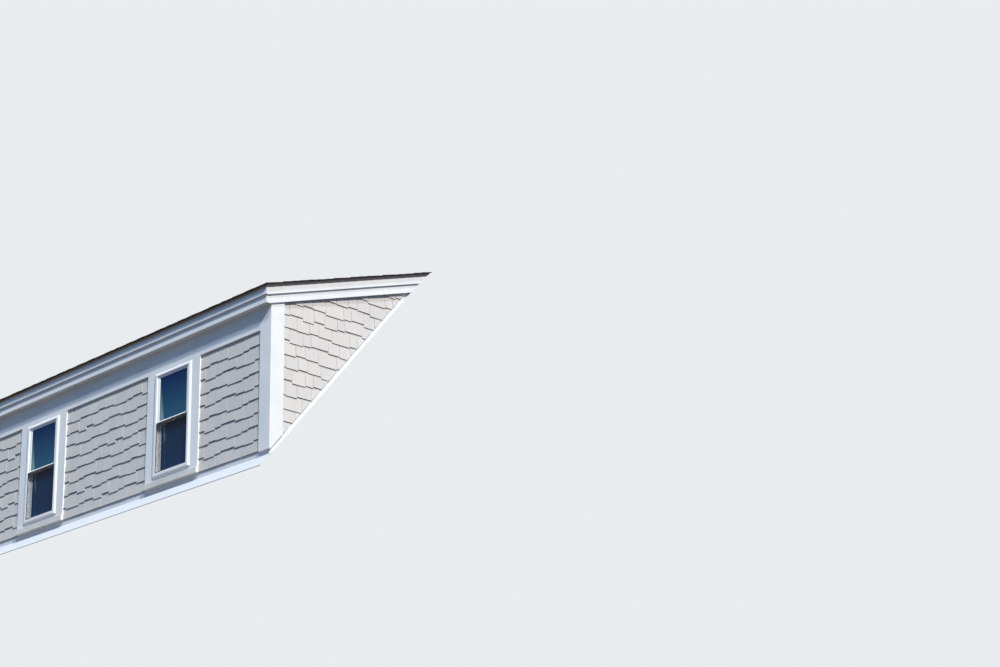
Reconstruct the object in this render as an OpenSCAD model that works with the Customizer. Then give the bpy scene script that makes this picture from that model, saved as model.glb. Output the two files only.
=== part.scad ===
// Shed dormer with two double-hung windows, built as a timber frame on a steep roof.
// X runs along the front, -Y is the outside, Z is up. The slope of the main roof passes
// through the origin, which is the middle of the underside of the front sole plate.

/* [Roof slopes] */
// Rise of the main roof for every 12 of run
main_rise = 14; // [13:0.25:15]
// Pitch of the dormer's own roof, in degrees
dormer_pitch = 18; // [16:0.5:19.5]

/* [Walls] */
// Width of the dormer over its corner boards
wall_w = 6130; // [5800:10:7000]
// Height of the front trim, from its foot to the underside of the frieze
trim_h = 1376; // [1340:1:1400]
// Height of the front trim's foot above the main roof
trim_gap = 98; // [85:1:110]
// Height of the cheek trim's foot above the main roof
cheek_gap = 75; // [60:1:90]
// Visible height of the frieze board
frieze_h = 257; // [240:1:275]
// Distance between the centres of the two windows
window_pitch = 2640; // [2000:10:2800]

/* [Windows] */
// Width of the opening between the side casings
opening_w = 700; // [600:5:760]
// Width of each side casing
casing_w = 140; // [90:5:160]
// Height of the window's foot above the foot of the front trim
sill_rise = 80; // [70:1:90]
// Height of the sashes' meeting rails above the window's foot
meeting_rise = 664; // [560:2:700]

/* [Boards] */
// Thickness of corner boards, casings and frieze
trim_t = 25; // [19:1:32]
// Width of corner boards, fascia and rake boards
board_w = 184; // [160:1:210]
// Thickness of the fascia and the rake boards
eave_t = 19; // [16:1:25]
// Width of the shadow boards on the fascia and the rakes
shadow_w = 89; // [64:1:110]
// Thickness of the shadow boards
shadow_t = 19; // [12:1:25]
// Overhang of the eave, from the corner boards to the fascia's face
eave_out = 84; // [60:2:120]
// Overhang of the roof covering past the shadow boards
roof_out = 38; // [12:1:50]

/* [Cladding] */
// Exposure of the wall shingles
wall_exposure = 152.4; // [127:0.1:178]
// Exposure of the roof shingles
roof_exposure = 127; // [120:1:145]
// Thickness of the wall shingles at their butts
wall_butt = 13; // [10:1:16]
// Thickness of the roof covering at its butts
roof_butt = 11; // [8:1:14]

/* [Framing] */
// Depth of studs and plates
stud_d = 89; // [89:1:120]
// Thickness of sawn timber
timber_t = 38; // [36:1:42]
// Depth of the rafters, square to the roof
rafter_d = 140; // [130:1:150]
// Spacing of studs and rafters
framing_pitch = 406; // [300:1:610]
// Thickness of the wall sheathing
sheath_t = 12; // [9:1:15]
// Thickness of the roof deck
deck_t = 19; // [12:1:25]

/* [Flashings] */
// Thickness of the sheet metal
metal_t = 1.5; // [1:0.5:2]
// Length of the apron's flange down the slope
apron_l = 200; // [100:5:250]
// Distance from the cheek's sheathing to the outer edge of the step flashing
step_w = 41; // [30:1:120]
// Height of the drip edge's face, from the top of the deck down
drip_leg = 33; // [25:1:60]

/* [Hidden] */
slope_t = main_rise / 12;
slope_a = atan(slope_t);
pitch_t = tan(dormer_pitch);
// Longer than any part, for cutting shapes
far = 9000;
// How far a cutting shape runs past the surface it opens
over = 1;

// Planes of the front wall, from the inside out
sole_w = 140;
stud_front = -74;
stud_back = stud_front + stud_d;
sheath_front = stud_front - sheath_t;
front_y = sheath_front - trim_t;
fascia_y = front_y - eave_out;
shadow_y = fascia_y - shadow_t;
tail_y = fascia_y + eave_t;

// Planes of the cheeks, from the outside in
half_w = wall_w / 2;
rake_x = half_w + eave_t;
shadow_x = rake_x + shadow_t;
sheath_x = half_w - trim_t;
stud_x = sheath_x - sheath_t;
stud_in_x = stud_x - stud_d;

// Heights of the front trim
trim_foot = slope_t * front_y + trim_gap;
frieze_foot = trim_foot + trim_h;
soffit_z = frieze_foot + frieze_h;
soffit_t = 9;
fascia_drop = 10.5;
fascia_foot = soffit_z - fascia_drop;

// Cladding: the foot of the front courses, the rise of the cheek courses above
// them, what a shingle loses towards its top, and the length behind the rake boards
wall_foot = trim_foot + 12;
cheek_rise = 47;
wall_taper = 6.5;
tuck = 60;

// Roof planes, as heights at a given y
function slope_z(y) = slope_t * y;
function lifted_z(y, n) = slope_t * y + n / cos(slope_a);
deck_z0 = fascia_foot + board_w - pitch_t * tail_y;
function deck_z(y, n = 0) = deck_z0 + pitch_t * y + n / cos(dormer_pitch);
function meet_y(deck_n, slope_n) =
    (deck_z0 + deck_n / cos(dormer_pitch) - slope_n / cos(slope_a)) / (slope_t - pitch_t);
function on_slope(s, n) =
    [s * cos(slope_a) - n * sin(slope_a), s * sin(slope_a) + n * cos(slope_a)];
function on_deck(y, n) = [y, deck_z(y, n)];
// Distance up the slope at which a surface at height n over the roof reaches y
function slope_foot(y, n) = (y + n * sin(slope_a)) / cos(slope_a);

// Heights that follow from the roof planes
shadow_foot = deck_z(fascia_y) - shadow_w;
plate_top = deck_z(stud_back, -rafter_d);
stud_top = plate_top - 2 * timber_t;
sleeper_end = (meet_y(0, timber_t) + timber_t * sin(slope_a)) / cos(slope_a);
sleeper_w = 281;

// Flashings: height of the flanges over the main roof, and the hidden legs
roof_gap = 9;
hem_gap = 3;
flashing_lap = 40;
step_leg = cheek_gap * cos(slope_a) + flashing_lap;
flashing_s = slope_foot(sheath_front, roof_gap);
apron_end = 16;
drip_flange = 60;

// Window openings in the frame
window_xs = [-window_pitch / 2, window_pitch / 2];
rough_w = opening_w + 20;
header_h = 235;
head_gap = 12;
window_head = stud_top - header_h - timber_t - head_gap;
window_foot = trim_foot + sill_rise;
casing_x = opening_w / 2 + casing_w;

// Wooden sill
sill_nose = 20;
sill_drop = 70;
sill_fall = 9.5;
groove_in = 8;
groove_w = 6;
groove_d = 5;

// Window frame: a bevelled ring round the sashes, on a base that is set back
frame_w = opening_w - 8;
frame_front = front_y - 16;
frame_back = frame_front + 89;
frame_face = 54;
frame_head = 38;
bevel_w = 24;
bevel_d = 14;
bar_foot = window_foot + 52;
bar_head = window_foot + 86;
bar_fall = 3;
base_in = 22;

// Sashes
sash_t = 30;
sash_gap = 4;
sash_lap = 10;
play = 0.5;
upper_y = frame_front + 13;
lower_y = upper_y + sash_t + sash_gap;
sash_w = frame_w - 2 * frame_face + 2 * sash_lap;
sash_foot = window_foot + 50;
sash_head = window_head - frame_head + 8;
stile_w = 51;
rail_w = 36;
meeting_w = 32;
foot_rail_w = 66;
meeting_z = window_foot + meeting_rise;
bead_w = 8;
bead_d = 4;
glass_t = 18;
glass_in = 8;

// Stud and rafter lines
king_off = rough_w / 2 + 1.5 * timber_t;
king_xs = [window_pitch / 2 - king_off, window_pitch / 2 + king_off];
post_xs = [stud_x - timber_t / 2, stud_x - 2.5 * timber_t];
nail_gap = 10;
inner_n = floor((king_xs[0] - timber_t - nail_gap) / framing_pitch);
inner_xs = [for (i = [-inner_n:inner_n]) i * framing_pitch];
outer_end = post_xs[1] - 1.5 * timber_t;
outer_xs = [for (x = [king_xs[1] + framing_pitch:framing_pitch:outer_end]) x];
rafter_n = floor((post_xs[0] - 2 * timber_t) / framing_pitch);
rafter_xs = concat([for (i = [-rafter_n:rafter_n]) i * framing_pitch], [-post_xs[0], post_xs[0]]);
cheek_stud_ys = [for (i = [0:4]) stud_back + timber_t / 2 + i * framing_pitch];

// Colours
white = "#f2f2f0";
siding_grey = "#c9c6c0";
roof_brown = "#b08058";
pine = "#d9b98a";
board_tan = "#c8a878";
metal_white = "#f4f4f2";
metal_dark = "#5a524c";
vinyl = "#f7f7f7";
glass_blue = "#2a4560";

// A prism along X whose outline is drawn in Y and Z
module along_x(x0, x1, points) {
    translate([x0, 0, 0]) rotate([90, 0, 90]) linear_extrude(x1 - x0) polygon(points);
}

// A prism along Y whose outline is drawn in X and Z
module along_y(y0, y1, points) {
    translate([0, y1, 0]) rotate([90, 0, 0]) linear_extrude(y1 - y0) polygon(points);
}

// A prism along Z whose outline is drawn in X and Y
module along_z(z0, z1, points) {
    translate([0, 0, z0]) linear_extrude(z1 - z0) polygon(points);
}

module block(x0, x1, y0, y1, z0, z1) {
    translate([x0, y0, z0]) cube([x1 - x0, y1 - y0, z1 - z0]);
}

module both_windows() {
    for (x = window_xs) translate([x, 0, 0]) children();
}

module both_sides() {
    children();
    mirror([1, 0, 0]) children();
}

// A timber that lies on the main roof, from s0 to s1 up the slope
module slope_timber(x0, x1, s0, s1) {
    along_x(x0, x1, [on_slope(s0, 0), on_slope(s1, 0), on_slope(s1, timber_t), on_slope(s0, timber_t)]);
}

module front_sole_plate() {
    color(pine) slope_timber(-stud_x, stud_x, -sole_w / 2, sole_w / 2);
}

module right_sole_plate() {
    color(pine) slope_timber(stud_in_x, stud_x, sole_w / 2, sleeper_end - sleeper_w);
}

module left_sole_plate() {
    mirror([1, 0, 0]) right_sole_plate();
}

module rafter_sleeper() {
    color(pine) slope_timber(-stud_x, stud_x, sleeper_end - sleeper_w, sleeper_end);
}

// A front stud whose foot is cut to the slope of the sole plate
module front_stud(x, top = stud_top) {
    along_x(x - timber_t / 2, x + timber_t / 2, [
        [stud_front, lifted_z(stud_front, timber_t)], [stud_back, lifted_z(stud_back, timber_t)],
        [stud_back, top], [stud_front, top]
    ]);
}

module front_studs() {
    color(pine) {
        both_sides() for (x = concat(post_xs, outer_xs, king_xs)) front_stud(x);
        for (x = inner_xs) front_stud(x);
    }
}

module jack_studs() {
    color(pine) both_windows() both_sides() front_stud(rough_w / 2 + timber_t / 2, stud_top - header_h);
}

// Each header is a deep beam with a flat head plate below it, between the jack studs
module window_headers() {
    beam_x = king_off - timber_t / 2;
    color(pine) both_windows() {
        block(-beam_x, beam_x, stud_front, stud_back, stud_top - header_h, stud_top);
        block(-rough_w / 2, rough_w / 2, stud_front, stud_back,
            stud_top - header_h - timber_t, stud_top - header_h);
    }
}

// The rough sill is ripped to a wedge, so that it seats on the sloping sole plate
module rough_sills() {
    color(pine) both_windows() along_x(-rough_w / 2, rough_w / 2, [
        [stud_front, lifted_z(stud_front, timber_t)],
        [(window_foot - timber_t / cos(slope_a)) / slope_t, window_foot],
        [stud_front, window_foot]
    ]);
}

module front_top_plate() {
    color(pine) block(-stud_x, stud_x, stud_front, stud_back, stud_top, stud_top + timber_t);
}

module front_cap_plate() {
    color(pine) block(-stud_x, stud_x, stud_front, stud_back, stud_top + timber_t, plate_top);
}

// Cheek studs are cut to both slopes, the main roof's below and the dormer's above
module right_cheek_studs() {
    color(pine) for (y = cheek_stud_ys) {
        y0 = y - timber_t / 2;
        y1 = y + timber_t / 2;
        along_x(stud_in_x, stud_x, [
            [y0, lifted_z(y0, timber_t)], [y1, lifted_z(y1, timber_t)],
            on_deck(y1, -rafter_d - timber_t), on_deck(y0, -rafter_d - timber_t)
        ]);
    }
}

module left_cheek_studs() {
    mirror([1, 0, 0]) right_cheek_studs();
}

module right_cheek_plate() {
    color(pine) along_x(stud_in_x, stud_x, [
        on_deck(stud_back, -rafter_d - timber_t),
        on_deck(meet_y(-rafter_d - timber_t, timber_t), -rafter_d - timber_t),
        on_deck(meet_y(-rafter_d, timber_t), -rafter_d),
        on_deck(stud_back, -rafter_d)
    ]);
}

module left_cheek_plate() {
    mirror([1, 0, 0]) right_cheek_plate();
}

// A rafter has a plumb cut at its tail, a birdsmouth over the front wall
// and a heel that is cut to sit on the sleeper
module rafter(x) {
    along_x(x - timber_t / 2, x + timber_t / 2, [
        on_deck(tail_y, 0), on_deck(tail_y, -rafter_d),
        on_deck(stud_front, -rafter_d), [stud_front, plate_top], [stud_back, plate_top],
        on_deck(meet_y(-rafter_d, timber_t), -rafter_d), on_deck(meet_y(0, timber_t), 0)
    ]);
}

module rafters() {
    color(pine) for (x = rafter_xs) rafter(x);
}

module front_sheathing() {
    head_z = deck_z(sheath_front, -rafter_d);
    color(board_tan) difference() {
        along_x(-sheath_x, sheath_x, [
            [sheath_front, slope_z(sheath_front)], [stud_front, slope_z(stud_front)],
            [stud_front, head_z], [sheath_front, head_z]
        ]);
        both_windows() block(-rough_w / 2, rough_w / 2, sheath_front - over, stud_front + over,
            window_foot, stud_top - header_h - timber_t);
    }
}

// The cheek's sheathing runs forward along the rafter tail as far as the fascia
module right_sheathing() {
    color(board_tan) along_x(stud_x, sheath_x, [
        [stud_front, slope_z(stud_front)],
        on_deck(meet_y(0, 0), 0),
        on_deck(tail_y, 0),
        on_deck(tail_y, -rafter_d),
        on_deck(stud_front, -rafter_d)
    ]);
}

module left_sheathing() {
    mirror([1, 0, 0]) right_sheathing();
}

module roof_deck() {
    color(board_tan) along_x(-shadow_x, shadow_x, [
        on_deck(shadow_y, 0), on_deck(meet_y(0, 0), 0),
        on_deck(meet_y(deck_t, 0), deck_t), on_deck(shadow_y, deck_t)
    ]);
}

// The house below the slope of the main roof, for cutting
module main_roof() {
    along_x(-far, far, [[-far, slope_z(-far)], [far, slope_z(far)], [far, slope_z(-far)]]);
}

// Courses of shingles as steps up the deck, cut off where the main roof starts
module roof_shingles() {
    lap_t = 5;
    edge_y = shadow_y - roof_out;
    edge_x = shadow_x + roof_out;
    step_y = roof_exposure * cos(dormer_pitch);
    bed = deck_t + metal_t;
    courses = ceil((meet_y(bed + roof_butt, 0) - edge_y) / step_y);
    fill_x = shadow_x - drip_flange;
    fill_y = shadow_y + drip_flange;
    color(roof_brown) {
        difference() {
            along_x(-edge_x, edge_x, concat(
                [on_deck(edge_y + courses * step_y, bed), on_deck(edge_y, bed)],
                [for (i = [0:courses - 1]) each [
                    on_deck(edge_y + i * step_y, bed + roof_butt),
                    on_deck(edge_y + (i + 1) * step_y, bed + lap_t)
                ]]
            ));
            main_roof();
        }
        along_x(-fill_x, fill_x, [
            on_deck(fill_y, deck_t), on_deck(meet_y(deck_t, 0), deck_t),
            on_deck(meet_y(bed, 0), bed), on_deck(fill_y, bed)
        ]);
    }
}

// Outline of lapped courses: each point is a distance out from the sheathing and a height
function lap_outline(z0, z1) = let (n = ceil((z1 - z0) / wall_exposure)) concat(
    [[0, z0 + n * wall_exposure], [0, z0]],
    [for (i = [0:n - 1]) each [
        [wall_butt, z0 + i * wall_exposure],
        [wall_butt - wall_taper, z0 + (i + 1) * wall_exposure]
    ]]
);

// Room for the apron's upright leg behind the front trim
module front_rebate() {
    block(-sheath_x - metal_t, sheath_x + metal_t, sheath_front - metal_t, sheath_front + over,
        trim_foot - over, trim_foot + flashing_lap);
}

// Room for the upright leg of the step flashing behind the cheek's cladding
module cheek_rebate() {
    along_x(sheath_x - over, sheath_x + metal_t, [
        on_slope(-far, 0), on_slope(far, 0), on_slope(far, step_leg), on_slope(-far, step_leg)
    ]);
}

// Three fields of courses: one on each side of the windows and one between them
module front_siding() {
    edge_x = half_w - board_w;
    color(siding_grey) difference() {
        intersection() {
            along_x(-edge_x, edge_x, [for (p = lap_outline(wall_foot, frieze_foot))
                [sheath_front - p[0], p[1]]]);
            block(-far, far, front_y, sheath_front, wall_foot, frieze_foot);
        }
        both_windows() block(-casing_x, casing_x, front_y - over, sheath_front + over, -far, far);
        front_rebate();
    }
}

module right_siding() {
    y0 = front_y + board_w;
    head_n = tuck - board_w;
    y1 = meet_y(head_n, cheek_gap * cos(slope_a));
    color(siding_grey) difference() {
        intersection() {
            along_y(y0, y1, [for (p = lap_outline(wall_foot + cheek_rise, deck_z(y1)))
                [sheath_x + p[0], p[1]]]);
            along_x(sheath_x, half_w, [
                [y0, slope_z(y0) + cheek_gap], on_deck(y1, head_n), on_deck(y0, head_n)
            ]);
        }
        cheek_rebate();
    }
}

module left_siding() {
    mirror([1, 0, 0]) right_siding();
}

// One corner board wraps the corner: a level foot in front, a foot cut to the slope at the side
module right_corner_board() {
    head_n = tuck - board_w;
    rear_y = front_y + board_w;
    color(white) difference() {
        union() {
            block(half_w - board_w, half_w, front_y, sheath_front, trim_foot, soffit_z);
            along_x(sheath_x, half_w, [
                [sheath_front, slope_z(sheath_front) + cheek_gap],
                [rear_y, slope_z(rear_y) + cheek_gap],
                on_deck(rear_y, head_n), on_deck(sheath_front, head_n)
            ]);
        }
        front_rebate();
        cheek_rebate();
    }
}

module left_corner_board() {
    mirror([1, 0, 0]) right_corner_board();
}

module frieze_board() {
    color(white) block(-half_w + board_w, half_w - board_w, front_y, sheath_front, frieze_foot, soffit_z);
}

// Side casings and the narrow head strip under the frieze, joined as they are nailed up
module window_casings() {
    color(white) both_windows() difference() {
        block(-casing_x, casing_x, front_y, sheath_front, window_foot, frieze_foot);
        block(-opening_w / 2, opening_w / 2, front_y - over, sheath_front + over,
            window_foot - over, window_head);
    }
}

// The sill slopes outwards past the casings and has a drip groove under its nose
module window_sills() {
    nose_y = front_y - sill_nose;
    foot_z = window_foot - sill_drop;
    groove_y = nose_y + groove_in;
    color(white) both_windows() difference() {
        along_x(-casing_x, casing_x, [
            [nose_y, foot_z], [groove_y, foot_z],
            [groove_y, foot_z + groove_d], [groove_y + groove_w, foot_z + groove_d],
            [groove_y + groove_w, foot_z], [sheath_front, foot_z],
            [sheath_front, window_foot], [front_y, window_foot], [nose_y, window_foot - sill_fall]
        ]);
        block(-far, far, sheath_front - metal_t, sheath_front + over,
            foot_z - over, trim_foot + flashing_lap);
    }
}

// Plan of the front boards, which meet the side boards in a mitre
module front_mitre(x, y, t) {
    along_z(-far, far, [[-x, y], [x, y], [x - t, y + t], [-x + t, y + t]]);
}

module side_mitre(x, y, t) {
    along_z(-far, far, [[x, y], [x, far], [x - t, far], [x - t, y + t]]);
}

// A board under the front edge of the deck, with its top edge bevelled to the deck
module front_board(x, y, t, foot_z) {
    intersection() {
        along_x(-x, x, [[y, foot_z], [y + t, foot_z], on_deck(y + t, 0), on_deck(y, 0)]);
        front_mitre(x, y, t);
    }
}

// A board under the side edge of the deck, cut off above the main roof;
// its front end is cut level with the foot of the front board that it meets
module side_board(x, y, t, w, front_foot) {
    level_y = (front_foot - deck_z(0, -w)) / pitch_t;
    intersection() {
        along_x(x - t, x, [
            [y, front_foot], [level_y, front_foot], on_deck(meet_y(-w, roof_gap), -w),
            on_deck(meet_y(0, roof_gap), 0), on_deck(y, 0)
        ]);
        side_mitre(x, y, t);
    }
}

module fascia_board() {
    color(white) front_board(rake_x, fascia_y, eave_t, fascia_foot);
}

module fascia_shadow_board() {
    color(white) front_board(shadow_x, shadow_y, shadow_t, shadow_foot);
}

module right_rake_board() {
    color(white) side_board(rake_x, fascia_y, eave_t, board_w, fascia_foot);
}

module left_rake_board() {
    mirror([1, 0, 0]) right_rake_board();
}

module right_rake_shadow() {
    color(white) side_board(shadow_x, shadow_y, shadow_t, shadow_w, shadow_foot);
}

module left_rake_shadow() {
    mirror([1, 0, 0]) right_rake_shadow();
}

// The packer holds the rake board off the sheathing, and the siding tucks up under it
module right_rake_packer() {
    foot_n = tuck - board_w;
    color(pine) along_x(sheath_x, half_w, [
        on_deck(tail_y, foot_n), on_deck(meet_y(foot_n, roof_gap), foot_n),
        on_deck(meet_y(0, roof_gap), 0), on_deck(tail_y, 0)
    ]);
}

module left_rake_packer() {
    mirror([1, 0, 0]) right_rake_packer();
}

module soffit_board() {
    color(white) block(-half_w, half_w, tail_y, sheath_front, soffit_z, soffit_z + soffit_t);
}

// An angle of sheet metal round the eave and up both rakes
module drip_edge() {
    face_y = shadow_y - metal_t;
    face_x = shadow_x + metal_t;
    foot_n = deck_t - drip_leg;
    top_n = deck_t + metal_t;
    color(metal_dark) {
        along_x(-face_x, face_x, [
            on_deck(face_y, foot_n), on_deck(shadow_y, foot_n), on_deck(shadow_y, deck_t),
            on_deck(shadow_y + drip_flange, deck_t), on_deck(shadow_y + drip_flange, top_n),
            on_deck(face_y, top_n)
        ]);
        both_sides() {
            along_x(shadow_x, face_x, [
                on_deck(face_y, foot_n), on_deck(meet_y(foot_n, roof_gap), foot_n),
                on_deck(meet_y(top_n, roof_gap), top_n), on_deck(face_y, top_n)
            ]);
            along_x(shadow_x - drip_flange, face_x, [
                on_deck(shadow_y, deck_t), on_deck(meet_y(deck_t, roof_gap), deck_t),
                on_deck(meet_y(top_n, roof_gap), top_n), on_deck(shadow_y, top_n)
            ]);
        }
    }
}

// The apron stands against the front sheathing and runs out over the roof to a turned-down hem
module apron_flashing() {
    foot_s = flashing_s - apron_l;
    leg_y = sheath_front - metal_t;
    leg_z = trim_foot + flashing_lap;
    color(metal_white) {
        along_x(-sheath_x - apron_end, sheath_x + apron_end, [
            on_slope(foot_s, hem_gap), on_slope(foot_s + metal_t, hem_gap),
            on_slope(foot_s + metal_t, roof_gap), on_slope(flashing_s, roof_gap),
            on_slope(flashing_s, roof_gap + metal_t), on_slope(foot_s, roof_gap + metal_t)
        ]);
        along_x(-sheath_x - metal_t, sheath_x + metal_t, [
            [leg_y, lifted_z(leg_y, roof_gap)], [sheath_front, lifted_z(sheath_front, roof_gap)],
            [sheath_front, leg_z], [leg_y, leg_z]
        ]);
    }
}

// Step flashing up the foot of a cheek, as one angle of sheet metal
module right_step_flashing() {
    head_n = tuck - board_w;
    end_gap = 30;
    s1 = slope_foot(meet_y(0, 0), 0) - end_gap;
    color(metal_white) {
        along_x(sheath_x, sheath_x + step_w, [
            on_slope(flashing_s, roof_gap), on_slope(s1, roof_gap),
            on_slope(s1, roof_gap + metal_t), on_slope(flashing_s, roof_gap + metal_t)
        ]);
        intersection() {
            along_x(sheath_x, sheath_x + metal_t, [
                on_slope(flashing_s, roof_gap), on_slope(s1, roof_gap),
                on_slope(s1, step_leg), on_slope(flashing_s, step_leg)
            ]);
            along_x(sheath_x, half_w, [
                [sheath_front, -far], [far, -far], on_deck(far, head_n), on_deck(sheath_front, head_n)
            ]);
        }
    }
}

module left_step_flashing() {
    mirror([1, 0, 0]) right_step_flashing();
}

// The frame is a bevelled ring on a base that is set back, with a track for each sash
module window_frames() {
    x1 = frame_w / 2;
    inner_x = x1 - frame_face;
    track_x = sash_w / 2 + over;
    rim_y = frame_front + bevel_d;
    base_y = frame_front + base_in;
    ledge_z = bar_head + bar_fall;
    head_z = window_head - frame_head;
    color(vinyl) both_windows() difference() {
        intersection() {
            along_z(window_foot, window_head, [
                [-x1, rim_y], [-x1 + bevel_w, frame_front], [x1 - bevel_w, frame_front],
                [x1, rim_y], [x1, frame_back], [-x1, frame_back]
            ]);
            along_x(-x1, x1, [
                [base_y, window_foot], [base_y, bar_foot - bevel_d], [rim_y, bar_foot - bevel_d],
                [frame_front, bar_foot], [frame_front, window_head - bevel_w],
                [rim_y, window_head], [frame_back, window_head], [frame_back, window_foot]
            ]);
        }
        along_x(-inner_x, inner_x, [
            [frame_front - over, bar_head], [lower_y, ledge_z], [frame_back + over, ledge_z],
            [frame_back + over, head_z], [frame_front - over, head_z]
        ]);
        block(-track_x, track_x, upper_y - play, upper_y + sash_t + play, ledge_z, sash_head + over);
        block(-track_x, track_x, lower_y - play, lower_y + sash_t + play, sash_foot, sash_head + over);
    }
}

// A hole through a sash, whose outer edge is bevelled like a glazing bead
module bevelled_hole(x1, y, z0, z1) {
    block(-x1, x1, y - over, y + sash_t + over, z0, z1);
    intersection() {
        along_z(z0 - bead_w, z1 + bead_w, [
            [-x1 - bead_w, y - over], [x1 + bead_w, y - over], [x1 + bead_w, y],
            [x1, y + bead_d], [-x1, y + bead_d], [-x1 - bead_w, y]
        ]);
        along_x(-x1 - bead_w, x1 + bead_w, [
            [y - over, z0 - bead_w], [y, z0 - bead_w], [y + bead_d, z0],
            [y + bead_d, z1], [y, z1 + bead_w], [y - over, z1 + bead_w]
        ]);
    }
}

// The pane lies in a groove of the sash
module pane(y, foot_z, head_z, foot_w, head_w) {
    pane_x = sash_w / 2 - stile_w + glass_in;
    pane_y = y + (sash_t - glass_t) / 2;
    block(-pane_x, pane_x, pane_y, pane_y + glass_t, foot_z + foot_w - glass_in, head_z - head_w + glass_in);
}

// A sash is a ring of stiles and rails
module sash(y, foot_z, head_z, foot_w, head_w) {
    difference() {
        block(-sash_w / 2, sash_w / 2, y, y + sash_t, foot_z, head_z);
        bevelled_hole(sash_w / 2 - stile_w, y, foot_z + foot_w, head_z - head_w);
        pane(y, foot_z, head_z, foot_w, head_w);
    }
}

// A cam lock: a base plate, a turning cam and its lever
module sash_lock() {
    block(-30, 30, -11, 11, 0, 5);
    cylinder(h = 12, d = 18, $fn = 32);
    block(0, 36, -4, 4, 0, 12);
}

module upper_sashes() {
    color(vinyl) both_windows() sash(upper_y, meeting_z, sash_head, meeting_w, rail_w);
}

// The lower sashes also carry a lift rail and a lock, both on the room's side
module lower_sashes() {
    lift_x = 150;
    lift_d = 10;
    lift_h = 8;
    lift_z = bar_head + 8;
    inside_y = lower_y + sash_t;
    color(vinyl) both_windows() {
        sash(lower_y, sash_foot, meeting_z + meeting_w, foot_rail_w, meeting_w);
        block(-lift_x, lift_x, inside_y, inside_y + lift_d, lift_z, lift_z + lift_h);
        translate([0, lower_y + sash_t / 2, meeting_z + meeting_w]) sash_lock();
    }
}

module window_glass() {
    color(glass_blue) both_windows() {
        pane(upper_y, meeting_z, sash_head, meeting_w, rail_w);
        pane(lower_y, sash_foot, meeting_z + meeting_w, foot_rail_w, meeting_w);
    }
}

front_sole_plate();
left_sole_plate();
right_sole_plate();
rafter_sleeper();
front_studs();
jack_studs();
window_headers();
rough_sills();
front_top_plate();
front_cap_plate();
left_cheek_studs();
right_cheek_studs();
left_cheek_plate();
right_cheek_plate();
rafters();
front_sheathing();
left_sheathing();
right_sheathing();
roof_deck();
roof_shingles();
front_siding();
left_siding();
right_siding();
left_corner_board();
right_corner_board();
frieze_board();
window_casings();
window_sills();
fascia_board();
fascia_shadow_board();
left_rake_board();
right_rake_board();
left_rake_shadow();
right_rake_shadow();
left_rake_packer();
right_rake_packer();
soffit_board();
drip_edge();
apron_flashing();
left_step_flashing();
right_step_flashing();
window_frames();
upper_sashes();
lower_sashes();
window_glass();
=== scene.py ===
# %% [markdown]
# # A shed dormer with two windows
# A dormer is a small front wall that stands on a steep slope, with a low roof of its own and two
# triangular side walls, the cheeks. The construction comes in as a fixed frame of named solids:
# studs, rafters, sheathing, trim boards, flashings and window units. This lesson adds what the
# eye sees on top of that: the single shingles of walls and roof, the insect screens, a finish
# for every surface, a plain stage and a camera.
#
# We load the frame first; the boxes of its nodes give the sizes of what we add. Nothing that we
# add may grow past it.

# %% Load the frame
import math
import random
import bmesh
import bpy
from mathutils import Matrix, Vector


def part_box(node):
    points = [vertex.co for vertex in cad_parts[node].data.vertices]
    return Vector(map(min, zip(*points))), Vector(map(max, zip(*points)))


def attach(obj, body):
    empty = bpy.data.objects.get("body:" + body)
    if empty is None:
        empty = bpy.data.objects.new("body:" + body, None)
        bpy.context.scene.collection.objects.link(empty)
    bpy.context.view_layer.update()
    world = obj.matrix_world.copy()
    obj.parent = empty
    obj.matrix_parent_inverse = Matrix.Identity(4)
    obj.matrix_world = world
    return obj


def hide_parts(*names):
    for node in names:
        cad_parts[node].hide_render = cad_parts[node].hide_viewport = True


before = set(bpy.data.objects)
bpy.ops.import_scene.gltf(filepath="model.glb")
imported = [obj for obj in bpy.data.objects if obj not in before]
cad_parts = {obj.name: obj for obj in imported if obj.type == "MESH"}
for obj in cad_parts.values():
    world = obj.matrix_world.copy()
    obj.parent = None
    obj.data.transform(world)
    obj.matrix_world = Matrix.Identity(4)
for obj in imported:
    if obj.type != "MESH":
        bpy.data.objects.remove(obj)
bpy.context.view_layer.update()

# %% [markdown]
# ## Numbers that the walls share
# The front wall faces -Y and the cheeks face +X and -X. The dormer sits on a steep plane that
# passes through the origin, its seat. Everything below is measured from the boxes of the frame's
# nodes, and only slopes and the real sizes of shingles and screens are written as numbers. All
# lengths are in metres.

# %% Slopes and walls
MM = 0.001
SEAT_SLOPE = 14 / 12
DORMER_ANGLE = math.radians(18)
DORMER_SLOPE = math.tan(DORMER_ANGLE)
EXPOSURE = 152.4 * MM
CASING_HALF = 490 * MM
front_low, front_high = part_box("front_siding")
cheek_low, cheek_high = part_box("right_siding")
wall_foot = front_low.z
window_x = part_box("window_casings")[1].x - CASING_HALF
print("windows stand at x =", round(window_x, 3), "and", round(-window_x, 3))

# %% [markdown]
# ## Helpers for modelling
# An operator acts on whatever is selected, and the frame arrives with all of its nodes selected.
# So each step starts from an empty selection, adds or picks one object, and goes into edit mode
# only for as long as it needs. Vertices and edges are picked in code by where they are.

# %% Modelling helpers
def only(piece):
    """Selects one object and nothing else."""
    bpy.ops.object.select_all(action="DESELECT")
    piece.select_set(True)
    bpy.context.view_layer.objects.active = piece


def block(name, low, high):
    """A cube primitive at its size and place, ready to be shaped."""
    bpy.ops.object.select_all(action="DESELECT")
    bpy.ops.mesh.primitive_cube_add(size=1)
    piece = bpy.context.object
    piece.name = name
    piece.data.transform(Matrix.LocRotScale((low + high) / 2, None, high - low))
    return piece


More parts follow.
